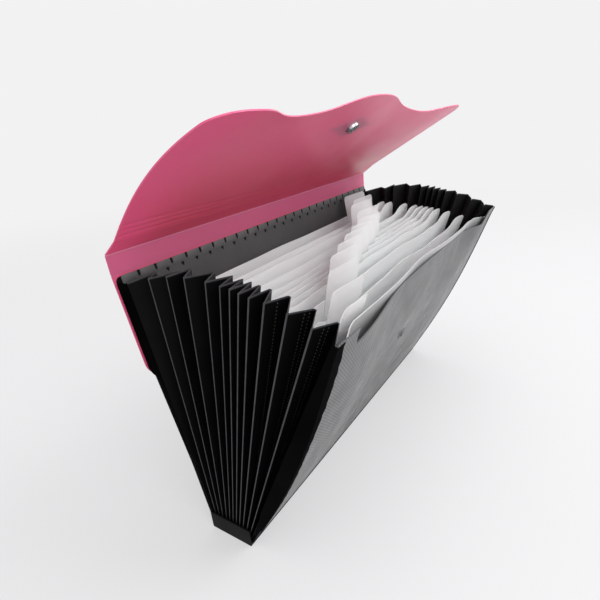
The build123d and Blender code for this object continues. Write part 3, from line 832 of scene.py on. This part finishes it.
STILL_HALF = 42.0
SLACK_RUN = 110.0
FAR_TURN = -7.0
NEAR_TURN = 12.0
SLACK_START = 2.0
NEAR_DROOP = -30.5
DROOP_REACH = 148.0
SCORE_LINES = (20.0, 24.5, 29.0)
SCORE_DEPTH = 0.18
SCORE_WIDTH = 0.4
SCORE_ROWS = (-0.7, -0.3, 0, 0.3, 0.7)
SIDE_REACH = 118.0
LOBE_INSET = 20.0
LOBE_REACH = 131.5
DIP_INSET = 88.5
DIP_REACH = 115.5
TONGUE_REACH = 130.0
CORNER_PULL = 0.55
END_RUN = 44
FLAP_FLAT = 130
BEND_STEPS = 90


def flap_lean(x, reach):
    """Lean of the flap sheet: turned at the far end, and curling over at the near end."""
    far = smooth((x - STILL_HALF) / SLACK_RUN)
    near = smooth((-x - STILL_HALF) / SLACK_RUN)
    turn = far * FAR_TURN + near * (NEAR_TURN + NEAR_DROOP * smooth(reach / DROOP_REACH))
    return FLAP_LEAN + turn * smooth((reach - BAND_WIDTH) / SLACK_START)


def flap_grid(x, reach, press):
    """Points of the flap sheet at distances from its crease, added up along the bend."""
    y = np.full(reach.shape, CREASE_2[0])
    z = np.full(reach.shape, CREASE_2[1])
    for step in range(BEND_STEPS):
        lean = np.radians(flap_lean(x, reach * (step + 0.5) / BEND_STEPS))
        y = y + reach / BEND_STEPS * np.sin(lean)
        z = z + reach / BEND_STEPS * np.cos(lean)
    lean = np.radians(flap_lean(x, reach))
    return np.stack(np.broadcast_arrays(x, y + press * np.cos(lean), z - press * np.sin(lean)), axis=-1)


def flap_piece(name, x, reach, press, material, body, node):
    """One panel of the flap sheet, hung on its body in place of the model's part."""
    x = np.broadcast_to(x[None, :], reach.shape)
    piece = thick_sheet(name, flap_grid(x, reach, press), FLAP_SHEET, material, x, reach)
    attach(piece, body)
    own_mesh(piece)
    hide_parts(node)


side_top = (FLAP_HALF, SIDE_REACH)
lobe = (FLAP_HALF - LOBE_INSET, LOBE_REACH)
dip = (FLAP_HALF - DIP_INSET, DIP_REACH)
tongue = (0.0, TONGUE_REACH)
corner_run = CORNER_PULL * (side_top[0] - lobe[0])
corner_rise = CORNER_PULL * (lobe[1] - side_top[1])
edge = np.concatenate([
    bezier(tongue, (dip[0] / 2, tongue[1]), (dip[0] / 2, dip[1]), dip),
    bezier(dip, ((dip[0] + lobe[0]) / 2, dip[1]), ((dip[0] + lobe[0]) / 2, lobe[1]), lobe),
    bezier(lobe, (lobe[0] + corner_run, lobe[1]), (side_top[0], side_top[1] + corner_rise), side_top),
])
ends = FLAP_HALF - END_RUN * (1 - np.sin(np.linspace(0, 1, 28) * np.pi / 2))
flap_x = np.concatenate([-ends[::-1], np.linspace(-FLAP_FLAT, FLAP_FLAT, 65), ends])
reach_top = np.interp(np.abs(flap_x), edge[:, 0], edge[:, 1])
low_rows = [BAND_WIDTH + FLAP_GAP]
for line in SCORE_LINES:
    low_rows += [line + row for row in SCORE_ROWS]
low_rows = np.array(low_rows)
share = np.linspace(0, 1, 32)[1:, None]
reach = np.concatenate([
    np.broadcast_to(low_rows[:, None], (len(low_rows), len(flap_x))),
    low_rows[-1] + share * (reach_top[None, :] - low_rows[-1]),
])
press = sum(hump(reach, line, SCORE_WIDTH) for line in SCORE_LINES) * SCORE_DEPTH
flap_piece("flap_sheet", flap_x, reach, press, pink_flap, "flap", "flap")
reach = np.linspace(BAND_GAP, BAND_WIDTH - FLAP_GAP, 8)[:, None] * np.ones((1, len(flap_x)))
flap_piece("flap_band_sheet", flap_x, reach, 0.0, pink_flap, "flap_band", "flap_band")


# Creases and feet: the sheet runs on round each fold as a thin bead

BEAD_SIDES = 12
PINK_BEAD_HALF = 176.3
FOOT_BEAD_HALF = 169.5
FOOT_BEAD_RADIUS = 0.55


def bead(name, centre, radius, half_length, material, body):
    """A slim round bead along the folder with rounded ends."""
    turns = np.linspace(0, 2 * np.pi, BEAD_SIDES + 1)[:-1]
    stations = [(-half_length, 0.35), (-half_length + 0.3, 1.0)]
    stations += [(spot, 1.0) for spot in np.linspace(-half_length + 20, half_length - 20, 9)]
    stations += [(half_length - 0.3, 1.0), (half_length, 0.35)]
    points = []
    for spot, size in stations:
        for angle in turns:
            y = centre[0] + radius * size * math.cos(angle)
            z = centre[1] + radius * size * math.sin(angle)
            points.append((spot, y, z))
    faces = []
    for ring in range(len(stations) - 1):
        low_ring = ring * BEAD_SIDES
        high_ring = low_ring + BEAD_SIDES
        for side in range(BEAD_SIDES):
            ahead = (side + 1) % BEAD_SIDES
            faces.append((low_ring + side, high_ring + side, high_ring + ahead, low_ring + ahead))
    faces.append(tuple(range(BEAD_SIDES)))
    faces.append(tuple(range(len(points) - 1, len(points) - BEAD_SIDES - 1, -1)))
    piece = make_object(name, points, faces, material, 50.0)
    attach(piece, body)


bead("crease_bead_low", CREASE_1, 0.45, PINK_BEAD_HALF, shaded_pink_strip, "back_cover")
# The upper crease bead carries the painted highlight.
bead("crease_bead_high", CREASE_2, 0.75, PINK_BEAD_HALF, pink_crease_highlight, "flap_strip")
bead("foot_bead_front", FRONT_HINGE, FOOT_BEAD_RADIUS, FOOT_BEAD_HALF, black_trim, "base")
bead("foot_bead_back", BACK_HINGE, FOOT_BEAD_RADIUS, FOOT_BEAD_HALF, black_trim, "base")


# Weld marks along the top of the liner

MARK_PITCH = 13.8
MARK_COUNT = 25
MARK_WIDTH = 12.3
MARK_LOW = 201.6
MARK_HIGH = 207.0
MARK_STAND = 0.3
MARK_CHOP = 0.8
SLIT_WIDTH = 2.6
SLIT_LOW = 203.2
SLIT_STAND = 0.26
DART_SHIFT = 2.0
DART_RISE = 200.6
DART_STAND = 0.33
MARK_SINK = 0.05


def block_outline(width, low, high):
    """A block with chopped corners: along the folder from its middle, and up the liner."""
    half = width / 2
    return [
        (-half + MARK_CHOP, low), (half - MARK_CHOP, low), (half, low + MARK_CHOP),
        (half, high - MARK_CHOP), (half - MARK_CHOP, high), (-half + MARK_CHOP, high),
        (-half, high - MARK_CHOP), (-half, low + MARK_CHOP),
    ]


def dart_outline(rise):
    """A small pointed dart."""
    return [(-1.5, rise + 0.4), (0.3, rise - 1.9), (1.3, rise + 0.6), (0.2, rise + 1.2)]


def weld_marks(name, first, count, shape, stand, material):
    """A row of raised marks of one shape on the liner."""
    points = []
    faces = []
    base = COVER_SHEET / 2 + LINER_SHEET
    for number in range(count):
        outline = np.array(shape) + (first + number * MARK_PITCH, 0.0)
        middle = np.mean(outline, axis=0)
        size = len(outline)
        start = len(points)
        for inset, height in ((1.0, -MARK_SINK), (1.0, stand * 0.6), (0.93, stand)):
            for spot in outline:
                at = middle + (spot - middle) * inset
                points.append(on_sheet(BACK_HINGE, BACK_LEAN, at[0], at[1], base + height))
        for ring in range(2):
            for corner in range(size):
                ahead = (corner + 1) % size
                a = start + ring * size
                faces.append((a + corner, a + ahead, a + size + ahead, a + size + corner))
        faces.append(tuple(start + 2 * size + corner for corner in range(size)))
        faces.append(tuple(start + corner for corner in range(size - 1, -1, -1)))
    piece = make_object(name, points, faces, material, 30.0)
    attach(piece, "back_cover")


mark_first = -(MARK_COUNT - 1) * MARK_PITCH / 2
mark_shape = block_outline(MARK_WIDTH, MARK_LOW, MARK_HIGH)
slit_shape = block_outline(SLIT_WIDTH, SLIT_LOW, MARK_HIGH)
dart_shape = dart_outline(DART_RISE)
weld_marks("liner_marks", mark_first, MARK_COUNT, mark_shape, MARK_STAND, liner_mark)
weld_marks("liner_slits", mark_first + MARK_PITCH / 2, MARK_COUNT - 1, slit_shape, SLIT_STAND, liner_dark)
weld_marks("liner_darts", mark_first + DART_SHIFT, MARK_COUNT, dart_shape, DART_STAND, liner_dark)


# Floor, light and camera

FLOOR_SIZE = 60.0
BACKDROP = tone(242, 242, 243)
FLOOR_DROP = 0.0002
FADE_NEAR = 0.3
FADE_FAR = 1.6
FADE_SHARE = 0.48
AMBIENT = 0.68

floor_mesh = bpy.data.meshes.new("floor")
half = FLOOR_SIZE / 2
corners = [(-half, -half, 0), (half, -half, 0), (half, half, 0), (-half, half, 0)]
floor_mesh.from_pydata(corners, [], [(0, 1, 2, 3)])
floor = bpy.data.objects.new("floor", floor_mesh)
floor.location.z = -FLOOR_DROP
bpy.context.scene.collection.objects.link(floor)
floor_paint = Paint("floor_pale", Specular_IOR_Level=0.15, Roughness=0.6)
floor_paint.colour(floor_paint.mix(floor_paint.noise(1.5), tone(216, 216, 218), tone(222, 222, 223)))
glow = floor_paint.node("ShaderNodeEmission")
glow.inputs["Color"].default_value = BACKDROP
rays = floor_paint.node("ShaderNodeLightPath").outputs
seen_ray = floor_paint.math("MAXIMUM", rays["Is Camera Ray"], rays["Is Glossy Ray"])
seen_ray = floor_paint.math("MAXIMUM", seen_ray, rays["Is Transmission Ray"])
distance = floor_paint.node("ShaderNodeVectorMath", operation="LENGTH")
floor_paint.link(floor_paint.place(), distance.inputs[0])
fade = floor_paint.spread(distance.outputs["Value"], FADE_NEAR, FADE_FAR, FADE_SHARE, 1.0, True)
seen_share = floor_paint.node("ShaderNodeMixShader")
floor_paint.link(floor_paint.math("MULTIPLY", seen_ray, fade), seen_share.inputs[0])
floor_paint.link(floor_paint.shader.outputs[0], seen_share.inputs[1])
floor_paint.link(glow.outputs[0], seen_share.inputs[2])
floor_paint.link(seen_share.outputs[0], floor_paint.tree.nodes["Material Output"].inputs["Surface"])
floor_mesh.materials.append(floor_paint.material)

world = bpy.data.worlds.new("studio")
bpy.context.scene.world = world
world.use_nodes = True
tree = world.node_tree
tree.nodes.clear()
ambient = tree.nodes.new("ShaderNodeBackground")
ambient.inputs["Color"].default_value = (1, 1, 1, 1)
ambient.inputs["Strength"].default_value = AMBIENT
seen = tree.nodes.new("ShaderNodeBackground")
seen.inputs["Color"].default_value = BACKDROP
seen.inputs["Strength"].default_value = 1.0
path = tree.nodes.new("ShaderNodeLightPath")
either = tree.nodes.new("ShaderNodeMath")
either.operation = "MAXIMUM"
tree.links.new(path.outputs["Is Camera Ray"], either.inputs[0])
tree.links.new(path.outputs["Is Glossy Ray"], either.inputs[1])
any_of = tree.nodes.new("ShaderNodeMath")
any_of.operation = "MAXIMUM"
tree.links.new(either.outputs[0], any_of.inputs[0])
tree.links.new(path.outputs["Is Transmission Ray"], any_of.inputs[1])
choose = tree.nodes.new("ShaderNodeMixShader")
tree.links.new(any_of.outputs[0], choose.inputs[0])
tree.links.new(ambient.outputs[0], choose.inputs[1])
tree.links.new(seen.outputs[0], choose.inputs[2])
out = tree.nodes.new("ShaderNodeOutputWorld")
tree.links.new(choose.outputs[0], out.inputs[0])


def softbox(name, place, aim, size, power):
    """A square soft light."""
    lamp = bpy.data.lights.new(name, "AREA")
    lamp.shape = "SQUARE"
    lamp.size = size
    lamp.energy = power
    holder = bpy.data.objects.new(name, lamp)
    holder.location = place
    holder.rotation_euler = (Vector(aim) - Vector(place)).to_track_quat("-Z", "Y").to_euler()
    bpy.context.scene.collection.objects.link(holder)


softbox("light_above", (0.1, -0.1, 1.9), (0, 0, 0.1), 1.8, 11.0)
softbox("light_front", (-0.9, -1.5, 0.9), (0, 0, 0.2), 1.4, 11.0)
softbox("light_far", (0.9, -1.25, 1.5), (0, 0, 0.15), 1.2, 21.0)

AZIMUTH = -57.61
ELEVATION = 27.41
ROLL = -3.04
TARGET = Vector((-0.0278, 0.0, 0.1089))
DISTANCE = 0.4037
SENSOR = 36.0
LENS = 26.604
SHIFT_RIGHT = -0.034
SHIFT_UP = 0.0593
az = math.radians(AZIMUTH)
el = math.radians(ELEVATION)
roll = math.radians(ROLL)
back = Vector((math.sin(az) * math.cos(el), -math.cos(az) * math.cos(el), math.sin(el)))
right = (-back).cross(Vector((0, 0, 1))).normalized()
up = right.cross(-back).normalized()
rolled_right = math.cos(roll) * right + math.sin(roll) * up
rolled_up = -math.sin(roll) * right + math.cos(roll) * up
camera_data = bpy.data.cameras.new("camera")
camera_data.sensor_width = SENSOR
camera_data.lens = LENS
camera_data.shift_x = SHIFT_RIGHT
camera_data.shift_y = SHIFT_UP
camera_data.clip_start = 0.01
camera = bpy.data.objects.new("camera", camera_data)
turned_to = Matrix((rolled_right, rolled_up, back)).transposed()
camera.matrix_world = Matrix.Translation(TARGET + back * DISTANCE) @ turned_to.to_4x4()
bpy.context.scene.collection.objects.link(camera)
bpy.context.scene.camera = camera
bpy.context.scene.view_settings.view_transform = "Standard"
